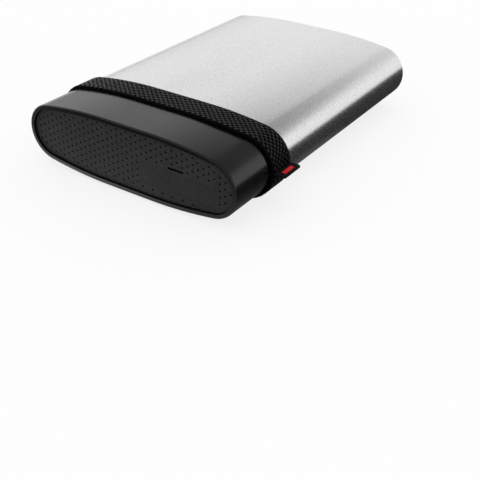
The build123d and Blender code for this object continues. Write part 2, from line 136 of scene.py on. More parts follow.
# rings about an upright axis: the lathe's marks on hubs and platter, and the coil's turns
def makeRingGroup():
    tree, given, result = newGroup("turnedRings", "ShaderNodeTree", [
        ("Centre", "Vector", (0.0, 0.0, 0.0)), ("Ring Pitch", "Float", 0.3 * mm)], [("Ring", "Float")])
    arm = vectorCalc(tree, "SUBTRACT", objectPlace(tree), given["Centre"])
    flat = vectorCalc(tree, "MULTIPLY", arm, (1.0, 1.0, 0.0))
    radius = vectorCalc(tree, "LENGTH", flat).outputs["Value"]
    feed(tree, result, {"Ring": wave(tree, calc(tree, "DIVIDE", radius, given["Ring Pitch"]))})
    return tree


ringGroup = makeRingGroup()


# eases the normals where the body's crown meets its side, so that a reflection runs over softly there
def makeShoulderGroup():
    tree, given, result = newGroup("softShoulder", "ShaderNodeTree", [
        ("Middle", "Float", 33.6 * mm), ("Reach", "Float", 3 * mm), ("Bend", "Float", 90.0)],
        [("Normal", "Vector")])
    spot = addNode(tree, "ShaderNodeSeparateXYZ", {0: objectPlace(tree)}).outputs
    normal = addNode(tree, "ShaderNodeNewGeometry").outputs["Normal"]
    facing = addNode(tree, "ShaderNodeSeparateXYZ", {0: normal}).outputs
    away = calc(tree, "SUBTRACT", calc(tree, "ABSOLUTE", spot["X"]), given["Middle"])
    near = calc(tree, "SUBTRACT", given["Reach"], calc(tree, "ABSOLUTE", away))
    near = calc(tree, "MAXIMUM", near, 0.0)
    share = calc(tree, "DIVIDE", calc(tree, "MULTIPLY", near, near), given["Reach"])
    turn = calc(tree, "MULTIPLY", calc(tree, "MULTIPLY", share, given["Bend"]), 0.25)
    side = calc(tree, "SIGN", calc(tree, "MULTIPLY", spot["X"], facing["Z"]))
    sway = calc(tree, "MULTIPLY", turn, side)
    ease = addNode(tree, "ShaderNodeCombineXYZ", {
        "X": calc(tree, "MULTIPLY", facing["Z"], sway),
        "Z": calc(tree, "MULTIPLY", calc(tree, "MULTIPLY", facing["X"], sway), -1.0)})
    feed(tree, result, {"Normal": vectorCalc(tree, "NORMALIZE", vectorCalc(tree, "ADD", normal, ease))})
    return tree


shoulderGroup = makeShoulderGroup()
shoulderSet = {"middle": 33.64, "reach": 3.2, "bend": 0.0946}  # bend: change of curvature at the line, per mm


def grainMaterial(name, dark, light, rough, grain=0.2, cloud=20.0, clouds=1.0, bump=0.01, stretch=(1, 1, 1),
                  rings=None, shoulder=None, **sockets):
    material, tree, shader = newMaterial(name, **sockets)
    made = addNode(tree, "ShaderNodeGroup", node_tree=grainGroup)
    feed(tree, made, {
        "Dark Tone": dark, "Light Tone": light, "Grain Size": grain * mm, "Cloud Size": cloud * mm,
        "Cloud Share": clouds, "Rough Low": rough[0], "Rough High": rough[1], "Stretch": stretch})
    color, height = made.outputs["Color"], made.outputs["Height"]
    if rings:
        centre, pitch, share = rings  # share: how far a ring goes to the dark tone
        turned = addNode(tree, "ShaderNodeGroup", node_tree=ringGroup)
        feed(tree, turned, {"Centre": Vector(centre) * mm, "Ring Pitch": pitch * mm})
        color = mixTone(tree, calc(tree, "MULTIPLY", turned, share), color, dark)
        height = calc(tree, "ADD", height, turned)
    relief = addNode(tree, "ShaderNodeBump", {"Height": height, "Strength": 1.0, "Distance": bump * mm})
    if shoulder:
        soft = addNode(tree, "ShaderNodeGroup", node_tree=shoulderGroup)
        feed(tree, soft, {"Middle": shoulder["middle"] * mm, "Reach": shoulder["reach"] * mm,
                          "Bend": shoulder["bend"] / mm})
        feed(tree, relief, {"Normal": soft})
    feed(tree, shader, {"Base Color": color, "Roughness": made.outputs["Roughness"], "Normal": relief})
    return material


def dress(material, *names):
    for name in names:
        nodes[name].data.materials.clear()
        nodes[name].data.materials.append(material)


# case
dress(grainMaterial("satinAluminium", grey(0.57), grey(0.98), (0.2, 0.27), grain=0.6, cloud=30, clouds=0.12,
                    bump=0.004, shoulder=shoulderSet, Metallic=1.0), "sleeve")
dress(grainMaterial("mattPlate", grey(0.3), grey(0.5), (0.45, 0.55), grain=0.5, cloud=25, clouds=0.3,
                    bump=0.006, Metallic=0.5), "rear_plate")
dress(grainMaterial("satinBlack", grey(0.002), grey(0.004), (0.19, 0.24), grain=0.1, cloud=18, bump=0.0008,
                    shoulder=shoulderSet), "end_cap")
softCover = grainMaterial("softCover", grey(0.009), grey(0.042), (0.52, 0.62), grain=0.6, cloud=15,
                          clouds=0.5, bump=0.012, Specular_IOR_Level=0.2)
dress(softCover, "port_cover")
dress(grainMaterial("smokedPipe", grey(0.0005), grey(0.0015), (0.5, 0.6), grain=0.3, cloud=3, bump=0.002,
                    Specular_IOR_Level=0.1), "light_pipe")
dress(grainMaterial("sealRubber", grey(0.012), grey(0.022), (0.6, 0.75), grain=0.15, cloud=8, bump=0.01),
      "cap_seal", "rear_seal")
dress(grainMaterial("shockRubber", grey(0.02), grey(0.035), (0.7, 0.85), grain=0.25, cloud=12, bump=0.02),
      "front_ring", "rear_ring")

# port and board
dress(grainMaterial("nickelShell", grey(0.55, 0.02), grey(0.68, 0.02), (0.2, 0.32), grain=0.2, cloud=6,
                    bump=0.003, stretch=(1, 0.06, 1), Metallic=1.0), "port_shell")
dress(grainMaterial("portPlastic", grey(0.012), grey(0.02), (0.35, 0.45), grain=0.12, cloud=5, bump=0.003),
      "port_tongue")
dress(grainMaterial("goldContact", (0.7, 0.45, 0.14, 1), (0.9, 0.62, 0.24, 1), (0.18, 0.3), grain=0.1,
                    cloud=3, bump=0.002, Metallic=1.0), "port_contacts")
dress(grainMaterial("chipPlastic", grey(0.016), grey(0.026), (0.5, 0.6), grain=0.08, cloud=3, bump=0.005),
      "bridge_chip", "disk_chips")
dress(grainMaterial("lightLens", (0.7, 0.66, 0.5, 1), (0.85, 0.82, 0.7, 1), (0.2, 0.35), grain=0.2, cloud=1,
                    bump=0.002, Subsurface_Weight=0.3, Subsurface_Scale=0.001), "status_light")

# disk
diskAxis, armAxis, coilAxis = (0, 20.875, 0), (-16.025, -22.9, 0), (-23.88, -26.14, 0)
dress(grainMaterial("castMetal", grey(0.32), grey(0.46), (0.45, 0.6), grain=0.35, cloud=10, bump=0.02,
                    Metallic=1.0), "disk_base")
dress(grainMaterial("lidSteel", grey(0.5), grey(0.66), (0.25, 0.36), grain=0.12, cloud=20, bump=0.003,
                    stretch=(1, 0.04, 1), Metallic=1.0), "disk_cover")
dress(grainMaterial("screwZinc", grey(0.35, 0.03), grey(0.52, 0.03), (0.25, 0.4), grain=0.2, cloud=2,
                    bump=0.006, Metallic=1.0), "cover_screws")
dress(grainMaterial("yokeNickel", grey(0.5, 0.03), grey(0.62, 0.03), (0.15, 0.25), grain=0.3, cloud=5,
                    bump=0.002, Metallic=1.0), "magnet_yokes")
dress(grainMaterial("platterMirror", grey(0.72), grey(0.8), (0.03, 0.06), grain=0.5, cloud=20, bump=0.0004,
                    rings=(diskAxis, 2.1, 0.12), Metallic=1.0), "platter")
dress(grainMaterial("turnedHub", grey(0.45), grey(0.62), (0.22, 0.34), grain=0.2, cloud=5, bump=0.004,
                    rings=(diskAxis, 0.24, 0.35), Metallic=1.0), "spindle_hub")
dress(grainMaterial("milledArm", grey(0.48), grey(0.6), (0.3, 0.42), grain=0.15, cloud=6, bump=0.004,
                    rings=(armAxis, 0.5, 0.25), Metallic=1.0), "actuator_arm")
dress(grainMaterial("coilCopper", (0.42, 0.16, 0.06, 1), (0.75, 0.34, 0.16, 1), (0.25, 0.35), grain=0.1,
                    cloud=2, bump=0.03, rings=(coilAxis, 0.18, 0.8), Metallic=1.0), "voice_coil")
dress(grainMaterial("rampPlastic", (0.55, 0.5, 0.4, 1), (0.66, 0.61, 0.5, 1), (0.35, 0.45), grain=0.15,
                    cloud=2, bump=0.004), "head_ramp")

# circuit boards: square-cornered tracks under green lacquer, with bare pads
boardSet = {"patch": 0.12, "scatter": 0.8, "lines": 9.0, "trackShare": 0.45, "padCell": 0.4, "padSize": 0.16,
            "relief": 0.02, "bridgePitch": 0.5, "diskPitch": 0.7}


def makeBoardGroup():
    s = boardSet
    tree, given, result = newGroup("boardTracks", "ShaderNodeTree", [
        ("Track Pitch", "Float", 0.6 * mm), ("Lacquer", "Color", (0.01, 0.07, 0.03, 1)),
        ("Track", "Color", (0.03, 0.15, 0.06, 1)), ("Pad", "Color", (0.6, 0.5, 0.3, 1))],
        [("Color", "Color"), ("Pad Mask", "Float"), ("Height", "Float")])
    place = objectPlace(tree)
    cells = addNode(tree, "ShaderNodeTexVoronoi", {
        "Vector": place, "Scale": calc(tree, "DIVIDE", s["patch"], given["Track Pitch"]),
        "Randomness": s["scatter"]}, distance="CHEBYCHEV")
    lines = calc(tree, "FRACT", calc(tree, "MULTIPLY", cells.outputs["Distance"], s["lines"]))
    track = calc(tree, "LESS_THAN", lines, s["trackShare"])
    dots = addNode(tree, "ShaderNodeTexVoronoi", {
        "Vector": place, "Scale": calc(tree, "DIVIDE", s["padCell"], given["Track Pitch"])})
    pad = calc(tree, "LESS_THAN", dots.outputs["Distance"], s["padSize"])
    board = mixTone(tree, track, given["Lacquer"], given["Track"])
    feed(tree, result, {"Color": mixTone(tree, pad, board, given["Pad"]), "Pad Mask": pad,
                        "Height": calc(tree, "MAXIMUM", track, pad)})
    return tree


boardGroup = makeBoardGroup()


def boardMaterial(name, pitch):
    material, tree, shader = newMaterial(name, Roughness=0.35, Coat_Weight=0.3)
    made = addNode(tree, "ShaderNodeGroup", node_tree=boardGroup)
    feed(tree, made, {"Track Pitch": pitch * mm})
    relief = addNode(tree, "ShaderNodeBump", {
        "Height": made.outputs["Height"], "Distance": boardSet["relief"] * mm})
    feed(tree, shader, {"Base Color": made.outputs["Color"], "Metallic": made.outputs["Pad Mask"],
                        "Normal": relief})
    return material


plugSet = {"pitch": 1.27, "bladeShare": 0.45, "gold": (0.75, 0.5, 0.18, 1), "grain": 0.125, "relief": 0.05}


def stripedPlug(name):  # black plastic with a row of gold blades along X
    s = plugSet
    material, tree, shader = newMaterial(name, Roughness=0.4)
    place = objectPlace(tree)
    along = addNode(tree, "ShaderNodeSeparateXYZ", {0: place})
    step = calc(tree, "FRACT", calc(tree, "DIVIDE", along, s["pitch"] * mm))
    blade = calc(tree, "LESS_THAN", step, s["bladeShare"])
    grain = addNode(tree, "ShaderNodeTexNoise", {"Vector": place, "Scale": 1 / (s["grain"] * mm)})
    plastic = mixTone(tree, grain.outputs["Fac"], grey(0.012), grey(0.022))
    relief = addNode(tree, "ShaderNodeBump", {"Height": blade, "Distance": s["relief"] * mm})
    feed(tree, shader, {"Base Color": mixTone(tree, blade, plastic, s["gold"]), "Metallic": blade,
                        "Normal": relief})
    return material


dress(boardMaterial("bridgeLaminate", boardSet["bridgePitch"]), "bridge_board")
dress(boardMaterial("diskLaminate", boardSet["diskPitch"]), "disk_board")
dress(stripedPlug("plugBlades"), "disk_plug", "disk_socket")


def makePiece(name, mesh, material=None):
    piece = bpy.data.objects.new(name, mesh)
    bpy.context.scene.collection.objects.link(piece)
    if material:
        mesh.materials.clear()
        mesh.materials.append(material)
    return piece


def meshOf(name, points, faces, edges=()):
    mesh = bpy.data.meshes.new(name)
    mesh.from_pydata([Vector(p) * mm for p in points], list(edges), faces)
    return mesh


def makeLine(name, points):
    return makePiece(name, meshOf(name, points, [], [(i, i + 1) for i in range(len(points) - 1)]))


def gridFaces(rows, columns, first=0, closed=False):
    # quads between rows of points that are numbered from first; a closed row ends where it starts
    faces = []
    for start in range(first, first + (rows - 1) * columns, columns):
        for i in range(columns if closed else columns - 1):
            j = (i + 1) % columns
            faces.append((start + i, start + j, start + columns + j, start + columns + i))
    return faces


def closeUp(mesh, smooth=True):
    work = bmesh.new()
    work.from_mesh(mesh)
    bmesh.ops.remove_doubles(work, verts=work.verts, dist=0.001 * mm)
    bmesh.ops.recalc_face_normals(work, faces=work.faces)
    for face in work.faces:
        face.smooth = smooth
    work.to_mesh(mesh)
    work.free()


def growNodes(piece, tree, values):  # run a Geometry Nodes tree on a piece and keep the plain mesh
    modifier = piece.modifiers.new(tree.name, "NODES")
    modifier.node_group = tree
    for item in tree.interface.items_tree:
        if item.item_type == "SOCKET" and item.in_out == "INPUT" and item.name in values:
            modifier[item.identifier] = values[item.name]
    grown = piece.evaluated_get(bpy.context.evaluated_depsgraph_get())
    mesh = bpy.data.meshes.new_from_object(grown)
    piece.modifiers.clear()
    piece.data = mesh


def dropHelper(helper):
    mesh = helper.data
    bpy.data.objects.remove(helper)
    bpy.data.meshes.remove(mesh)


def store(tree, geometry, name, value, kind="FLOAT", domain="POINT"):
    return addNode(tree, "GeometryNodeStoreNamedAttribute", {
        "Geometry": geometry, "Name": name, "Value": value}, data_type=kind, domain=domain)


def join(tree, parts):
    whole = addNode(tree, "GeometryNodeJoinGeometry")
    for part in parts:
        feed(tree, whole, {0: part})
    return whole


def everyOther(tree, rows, operation):
    # a checkerboard on points that are numbered row by row within each column
    index = addNode(tree, "GeometryNodeInputIndex")
    column = calc(tree, "FLOOR", calc(tree, "DIVIDE", index, rows))
    row = calc(tree, "MODULO", index, rows)
    parity = calc(tree, "MODULO", calc(tree, "ADD", column, row), 2.0)
    return addNode(tree, "FunctionNodeCompare", {0: parity, 1: 0.5}, data_type="FLOAT", operation=operation)


# the body's section, as the solids have it
section = {"width": 84.0, "height": 23.8, "flat": 18.0, "sideRadius": 10.0, "middle": 11.9}


def ovalPoints(outset, spacing=0.25):
    # points (x, z) round the section from the +X side down, under and back over the top
    half, high, flat = section["width"] / 2, section["height"] / 2, section["flat"] / 2
    side = section["sideRadius"]
    reach = half - flat - side
    crown = (reach**2 + high**2 - side**2) / (2 * (high - side))
    turn = math.atan2(reach, crown - high)
    pi = math.pi
    arcs = [(half - side, 0, side, pi / 2, pi - turn), (flat, crown - high, crown, pi - turn, pi),
            (-flat, crown - high, crown, pi, pi + turn), (side - half, 0, side, pi + turn, 2 * pi - turn),
            (-flat, high - crown, crown, 2 * pi - turn, 2 * pi),
            (flat, high - crown, crown, 2 * pi, 2 * pi + turn),
            (half - side, 0, side, 2 * pi + turn, 2.5 * pi)]
    points = []
    for cx, cz, radius, start, end in arcs:
        out = radius + outset
        steps = max(2, round((end - start) * out / spacing))
        for i in range(steps + 1):
            angle = start + (end - start) * i / steps
            points.append((cx + out * math.sin(angle), cz + out * math.cos(angle)))
    return points


def evenly(points, count, skip):
    # the line without a skip at either end, as count points at even steps, each with its outward direction
    lengths = [0.0]
    for a, b in zip(points, points[1:]):
        lengths.append(lengths[-1] + math.dist(a, b))
    result, k = [], 0
    for i in range(count):
        goal = skip + (lengths[-1] - 2 * skip) * i / (count - 1)
        while k < len(points) - 2 and lengths[k + 1] < goal:
            k += 1
        a, b = points[k], points[k + 1]
        step = max(lengths[k + 1] - lengths[k], 1e-9)
        share = (goal - lengths[k]) / step
        dx, dz = (b[0] - a[0]) / step, (b[1] - a[1]) / step
        result.append(((a[0] + (b[0] - a[0]) * share, a[1] + (b[1] - a[1]) * share), (-dz, dx)))
    return result


# strap: a core between two edge cords, black with painted shade, with raised floats of yarn in a
# checkerboard, open at the tag
strapSet = {"middle": -36.65, "width": 10.0, "inner": -0.2, "innerBevel": 0.15, "core": 0.74, "cord": 0.97,
            "cordWidth": 0.4, "cordBevel": 0.1, "cordFoot": 0.05, "edge": 0.18, "edgeSteps": 4,
            "spans": (0.6, 0.3, 0, -0.3, -0.6), "slit": 0.42, "yarnSlit": 0.72, "stations": 300,
            "routePoints": 600, "columns": 193, "rows": 10, "rowPitch": 0.96, "floatLength": 1.18,
            "floatWidth": 1.1, "floatRise": 0.31, "tieLength": 1.0, "tieWidth": 0.4, "tieRise": 0.06,
            "leanFrom": 12.0, "lean": 1.2, "leanPower": 2.6, "lift": 0.2, "liftLead": 3}


def strapLean(x):
    # towards the tag the strap leans over the sleeve's end and stands off a little: (along Y, outwards)
    s = strapSet
    share = max(x - s["leanFrom"], 0) / (section["width"] / 2 - s["leanFrom"])
    return s["lean"] * share**s["leanPower"], s["lift"] * min(s["liftLead"] * share, 1)


def strapProfile():
    # across the strap: (y, outset), once round
    s = strapSet
    half, low, high, edge, cord = s["width"] / 2, s["inner"], s["core"], s["edge"], s["cord"]
    inside = half - s["cordWidth"]
    right = [(half - s["innerBevel"], low), (half, low + s["innerBevel"]), (half, cord - edge)]
    for i in range(1, s["edgeSteps"] + 1):
        angle = math.pi / 2 * i / s["edgeSteps"]
        right.append((half - edge + edge * math.cos(angle), cord - edge + edge * math.sin(angle)))
    right += [(inside + s["cordBevel"], cord - s["cordBevel"]), (inside - s["cordFoot"], high)]
    across = [half * span for span in s["spans"]]
    left = [(-y, r) for y, r in reversed(right)]
    return right + [(y, high) for y in across] + left + [(-y, low) for y in across]


def makeStrapCore():
    profile = strapProfile()
    rim = evenly(ovalPoints(0), strapSet["stations"], strapSet["slit"])
    points = []
    for (x, z), (nx, nz) in rim:
        lean, lift = strapLean(x)
        for y, outset in profile:
            out = outset + lift
            points.append((x + nx * out, strapSet["middle"] + y + lean, section["middle"] + z + nz * out))
    n = len(profile)
    faces = gridFaces(len(rim), n, closed=True)
    faces += [tuple(range(n)), tuple(range(len(points) - n, len(points)))]  # the two cut ends
    mesh = meshOf("strapCore", points, faces)
    closeUp(mesh)
    return mesh


def makeFloatTree():
    tree, given, result = newGroup("wovenFloats", "GeometryNodeTree", [
        ("Geometry", "Geometry", None), ("Path", "Object", None), ("Columns", "Int", 192),
        ("Rows", "Int", 10), ("Row Pitch", "Float", 1 * mm),
        ("Float Size", "Vector", (1.5 * mm, 1.3 * mm, 0.3 * mm)),
        ("Tie Size", "Vector", (0.5 * mm, 1.1 * mm, 0.1 * mm)), ("Shade Low", "Float", 0.7),
        ("Seed", "Int", 3), ("Yarn", "Material", None), ("Ground", "Material", None)],
        [("Geometry", "Geometry")])
    path = addNode(tree, "GeometryNodeObjectInfo", {"Object": given["Path"]}, transform_space="RELATIVE")
    line = addNode(tree, "GeometryNodeMeshToCurve", {"Mesh": path.outputs["Geometry"]})
    stations = addNode(tree, "GeometryNodeCurveToPoints", {"Curve": line, "Count": given["Columns"]},
                       mode="COUNT")
    along = store(tree, stations, "along", stations.outputs["Tangent"], "FLOAT_VECTOR")
    reach = calc(tree, "MULTIPLY", calc(tree, "SUBTRACT", given["Rows"], 1.0), given["Row Pitch"])
    across = addNode(tree, "GeometryNodeMeshLine", {
        "Count": given["Rows"],
        "Start Location": addNode(tree, "ShaderNodeCombineXYZ", {"Y": calc(tree, "MULTIPLY", reach, -0.5)}),
        "Offset": addNode(tree, "ShaderNodeCombineXYZ", {"Y": given["Row Pitch"]})}, mode="OFFSET")
    rows = addNode(tree, "GeometryNodeInstanceOnPoints", {"Points": along, "Instance": across})
    sites = addNode(tree, "GeometryNodeRealizeInstances", {0: rows})
    over = everyOther(tree, given["Rows"], "GREATER_THAN")
    under = addNode(tree, "FunctionNodeBooleanMath", {0: over}, operation="NOT")
    heading = addNode(tree, "GeometryNodeInputNamedAttribute", {"Name": "along"}, data_type="FLOAT_VECTOR")
    turn = addNode(tree, "FunctionNodeAxesToRotation", {
        "Primary Axis": heading, "Secondary Axis": (0.0, 1.0, 0.0)}, primary_axis="X", secondary_axis="Y")
    # a block is pulled in to where the eighth powers of x, y and z add up to 1, which rounds its edges
    spot = addNode(tree, "GeometryNodeInputPosition")
    square = vectorCalc(tree, "MULTIPLY", spot, spot)
    fourth = vectorCalc(tree, "MULTIPLY", square, square)
    eighth = vectorCalc(tree, "DOT_PRODUCT", fourth, fourth).outputs["Value"]
    pulled = addNode(tree, "ShaderNodeVectorMath", {
        0: spot, "Scale": calc(tree, "POWER", eighth, -1 / 8)}, operation="SCALE")
    shade = addNode(tree, "FunctionNodeRandomValue", {
        2: given["Shade Low"], 3: 1.0, "Seed": given["Seed"]}, data_type="FLOAT")
    laid = []
    # ties get a tone of 0.1 against the floats' 1.0: painted shade down in the pits between the floats
    for label, pick, tone, cuts in (("Float Size", over, 1.0, 4), ("Tie Size", under, 0.1, 3)):
        block = addNode(tree, "GeometryNodeMeshCube", {
            "Size": (2.0, 2.0, 2.0), "Vertices X": cuts, "Vertices Y": cuts, "Vertices Z": cuts - 1})
        cushion = addNode(tree, "GeometryNodeSetPosition", {"Geometry": block, "Position": pulled})
        mapped = store(tree, store(tree, cushion, "yarnTone", tone), "yarnUv", spot, "FLOAT_VECTOR")
        sized = addNode(tree, "GeometryNodeTransform", {"Geometry": mapped, "Scale": given[label]})
        placed = addNode(tree, "GeometryNodeInstanceOnPoints", {
            "Points": sites, "Selection": pick, "Instance": sized, "Rotation": turn})
        laid.append(store(tree, placed, "yarnShade", shade.outputs[1], domain="INSTANCE"))
    yarns = addNode(tree, "GeometryNodeRealizeInstances", {0: join(tree, laid)})
    marked = store(tree, yarns, "isFloat", True, "BOOLEAN", "FACE")
    shaded = addNode(tree, "GeometryNodeSetShadeSmooth", {"Geometry": marked})
    real = addNode(tree, "GeometryNodeRealizeInstances", {0: join(tree, (shaded, given["Geometry"]))})
    base = addNode(tree, "GeometryNodeSetMaterial", {"Geometry": real, "Material": given["Ground"]})
    isFloat = addNode(tree, "GeometryNodeInputNamedAttribute", {"Name": "isFloat"}, data_type="BOOLEAN")
    finish = addNode(tree, "GeometryNodeSetMaterial", {
        "Geometry": base, "Selection": isFloat, "Material": given["Yarn"]})
    feed(tree, result, {"Geometry": finish})
    return tree


# yarn: twisted filaments along each float, with painted shade down in the weave
yarnSet = {"specular": 0.14, "fuzzScale": 6000.0, "fuzzDetail": 2.0, "roughLow": 0.22, "roughHigh": 0.28,
           "relief": 0.003}


def yarnMaterial(name, shadeLevel, low, high, twist, crest=None, dye=(1.0, 1.0, 1.0)):
    s = yarnSet
    # the first level is painted shade: where the lit share falls, the yarn goes to it
    shadeTone, lowTone, highTone = [(*(level * share for share in dye), 1) for level in (shadeLevel, low, high)]
    material, tree, shader = newMaterial(name, Specular_IOR_Level=s["specular"])
    tone, place, shade = [addNode(tree, "ShaderNodeAttribute", attribute_name=label).outputs
                          for label in ("yarnTone", "yarnUv", "yarnShade")]
    axis = addNode(tree, "ShaderNodeSeparateXYZ", {0: place["Vector"]}).outputs
    slant = calc(tree, "ADD", calc(tree, "MULTIPLY", axis[0], twist[0]),
                 calc(tree, "MULTIPLY", axis[1], twist[1]))
    fuzz = addNode(tree, "ShaderNodeTexNoise", {
        "Vector": objectPlace(tree), "Scale": s["fuzzScale"], "Detail": s["fuzzDetail"]}).outputs["Fac"]
    lively = calc(tree, "MULTIPLY_ADD", fuzz, 0.5, calc(tree, "MULTIPLY", wave(tree, slant), 0.5))
    lit = calc(tree, "MULTIPLY", tone["Fac"], shade["Fac"])
    # the crest paints light on the top of each float and shade down its sides
    if crest:  # light on top of each float, dark down its sides
        top = addNode(tree, "ShaderNodeMapRange", {
            "Value": axis[2], "From Min": crest[0], "From Max": crest[1]})
        lit = calc(tree, "MULTIPLY", lit, top)
    yarn = mixTone(tree, lit, shadeTone, mixTone(tree, lively, lowTone, highTone))
    rough = addNode(tree, "ShaderNodeMapRange", {
        "Value": fuzz, "To Min": s["roughLow"], "To Max": s["roughHigh"]})
    relief = addNode(tree, "ShaderNodeBump", {"Height": lively, "Distance": s["relief"] * mm})
    feed(tree, shader, {"Base Color": yarn, "Roughness": rough, "Normal": relief})
    return material


def makeStrap():
    s = strapSet
    blackYarn = yarnMaterial("blackYarn", 0.0002, 0.003, 0.009, (0.4, 2.0), crest=(0.55, 0.8))
    # the core and cords: black yarn painted darker still, painted shade down in the weave and on the strap's
    # sides
    shadedWeave = grainMaterial("shadedWeave", grey(0.0005), grey(0.002), (0.7, 0.85), grain=0.15, cloud=1,
                              bump=0.02, Specular_IOR_Level=0.1)
    points = []
    for (x, z), (nx, nz) in evenly(ovalPoints(s["core"]), s["routePoints"], s["yarnSlit"]):
        lean, lift = strapLean(x)
        points.append((x + nx * lift, s["middle"] + lean, section["middle"] + z + nz * lift))
    path = makeLine("strapPath", points)
    strap = makePiece("strapBand", makeStrapCore(), shadedWeave)
    growNodes(strap, makeFloatTree(), {
        "Path": path, "Columns": s["columns"], "Rows": s["rows"], "Row Pitch": s["rowPitch"] * mm,
        "Float Size": Vector((s["floatLength"] / 2, s["floatWidth"] / 2, s["floatRise"])) * mm,
        "Tie Size": Vector((s["tieWidth"] / 2, s["tieLength"] / 2, s["tieRise"])) * mm,
        "Yarn": blackYarn, "Ground": shadedWeave})
    dropHelper(path)
    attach(strap, "case")
    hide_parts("strap")
    print("strap:", len(strap.data.polygons), "faces")


makeStrap()

# tag: a folded ribbon with cross ribs, heat-sealed round its edge
tagSet = {"root": 42.05, "neck": 43.3, "tip": 47.2, "middle": -35.45, "height": 11.95, "halfWidth": 5.3,
          "halfNeck": 4.95, "half": 0.32, "corner": 1.5, "seal": 0.28, "ribPitch": 0.42, "ribRise": 0.035,
          "steps": 110, "sides": 40}


def tagReach(x):  # half the tag's width at x
    s = tagSet
    if x <= s["neck"]:
        return s["halfNeck"]
    corner = x - (s["tip"] - s["corner"])
    if corner <= 0:
        return s["halfWidth"]
    return s["halfWidth"] - s["corner"] + math.sqrt(max(s["corner"]**2 - corner**2, 0))


def makeTag():
    s = tagSet
    steps, sides = s["steps"], s["sides"]
    points = []
    for sign in (1, -1):
        for i in range(steps + 1):
            x = s["root"] + (s["tip"] - s["root"]) * i / steps
            reach = tagReach(x)
            for j in range(sides + 1):
                y = -math.cos(math.pi * j / sides) * reach
                rim = min(reach - abs(y), s["tip"] - x, s["seal"]) / s["seal"]
                high = (s["half"] - s["ribRise"]) * math.sqrt(max(1 - (1 - rim)**2, 0))
                high += s["ribRise"] * rim * math.sin(2 * math.pi * x / s["ribPitch"])
                points.append((x, s["middle"] + y, s["height"] + sign * high))
    layer = len(points) // 2
    faces = gridFaces(steps + 1, sides + 1) + gridFaces(steps + 1, sides + 1, first=layer)
    faces += [(j, j + 1, layer + j + 1, layer + j) for j in range(sides)]  # close the root
    mesh = meshOf("tagTab", points, faces)
    closeUp(mesh)
    tag = makePiece("tagTab", mesh, grainMaterial(
        "tagCloth", grey(0.002), grey(0.006), (0.6, 0.75), grain=0.12, cloud=2, bump=0.02,
        stretch=(1, 0.3, 1), Specular_IOR_Level=0.1))
    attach(tag, "case")
    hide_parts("tag")
    print("tag: ribbed and sealed")


makeTag()


# stitches along a line, each one a round bead of thread, turned by an angle from the line
def makeStitchTree():
    tree, given, result = newGroup("stitchRow", "GeometryNodeTree", [
        ("Geometry", "Geometry", None), ("Pitch", "Float", 0.8 * mm),
        ("Stitch Size", "Vector", (0.35 * mm, 0.1 * mm, 0.1 * mm)), ("Turn", "Float", 0.0),
        ("Thread", "Material", None)], [("Geometry", "Geometry")])
    line = addNode(tree, "GeometryNodeMeshToCurve", {"Mesh": given["Geometry"]})
    places = addNode(tree, "GeometryNodeCurveToPoints", {"Curve": line, "Length": given["Pitch"]},
                     mode="LENGTH")
    aim = addNode(tree, "FunctionNodeAlignRotationToVector", {"Vector": places.outputs["Tangent"]}, axis="X",
                  pivot_axis="Z")
    spin = addNode(tree, "ShaderNodeCombineXYZ", {"Z": given["Turn"]})
    turned = addNode(tree, "FunctionNodeRotateRotation", {0: aim, 1: spin}, rotation_space="LOCAL")
    bead = addNode(tree, "GeometryNodeMeshUVSphere", {"Segments": 8, "Rings": 6, "Radius": 1.0})
    stitch = addNode(tree, "GeometryNodeTransform", {"Geometry": bead, "Scale": given["Stitch Size"]})
    stitch = store(tree, stitch, "yarnUv", bead.outputs["UV Map"], "FLOAT2", "CORNER")
    for label in ("yarnTone", "yarnShade"):
        stitch = store(tree, stitch, label, 1.0)
    sewn = addNode(tree, "GeometryNodeInstanceOnPoints", {
        "Points": places, "Instance": stitch, "Rotation": turned})
    real = addNode(tree, "GeometryNodeRealizeInstances", {0: sewn})
    shaded = addNode(tree, "GeometryNodeSetShadeSmooth", {"Geometry": real})
    finish = addNode(tree, "GeometryNodeSetMaterial", {"Geometry": shaded, "Material": given["Thread"]})
    feed(tree, result, {"Geometry": finish})
    return tree


stitchTree = makeStitchTree()
stitchSet = {"start": 0.35, "inset": 0.75, "corner": 0.8, "pitch": 0.95, "length": 0.72, "width": 0.2,
             "sink": 0.02, "twist": (4, 6), "barX": 45.2, "barHalf": 2.6, "barPitch": 0.24, "barLength": 1.9,
             "barWidth": 0.26, "barDye": (1.6, 0.06, 0.09)}


def sewRow(name, points, thread, pitch, size, turn):
    row = makeLine(name, points)
    growNodes(row, stitchTree, {"Pitch": pitch * mm, "Stitch Size": Vector(size) * mm / 2, "Turn": turn,
                                "Thread": thread})
    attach(row, "case")


def sewTag():
    s, t = stitchSet, tagSet
    darkThread = yarnMaterial("darkThread", 0.004, 0.01, 0.022, s["twist"])
    redThread = yarnMaterial("redThread", 0.2, 0.25, 0.5, s["twist"], dye=s["barDye"])
    low, high, corner = t["neck"] + s["start"], t["tip"] - s["inset"], s["corner"]
    reach, rise = t["halfWidth"] - s["inset"], t["half"] - s["sink"]
    seam = [(low, -reach), (high - corner, -reach), (high, corner - reach), (high, reach - corner),
            (high - corner, reach), (low, reach)]
    for name, side in (("tagSeamUpper", 1), ("tagSeamLower", -1)):
        points = [(x, t["middle"] + y, t["height"] + side * rise) for x, y in seam]
        sewRow(name, points, darkThread, s["pitch"], (s["length"], s["width"], s["width"]), 0.0)
    bar = [(s["barX"], t["middle"] + side * s["barHalf"], t["height"] + rise) for side in (-1, 1)]
    sewRow("tagBarTack", bar, redThread, s["barPitch"], (s["barLength"], s["barWidth"], s["barWidth"]),
           math.pi / 2)
    print("tag: sewn")


sewTag()

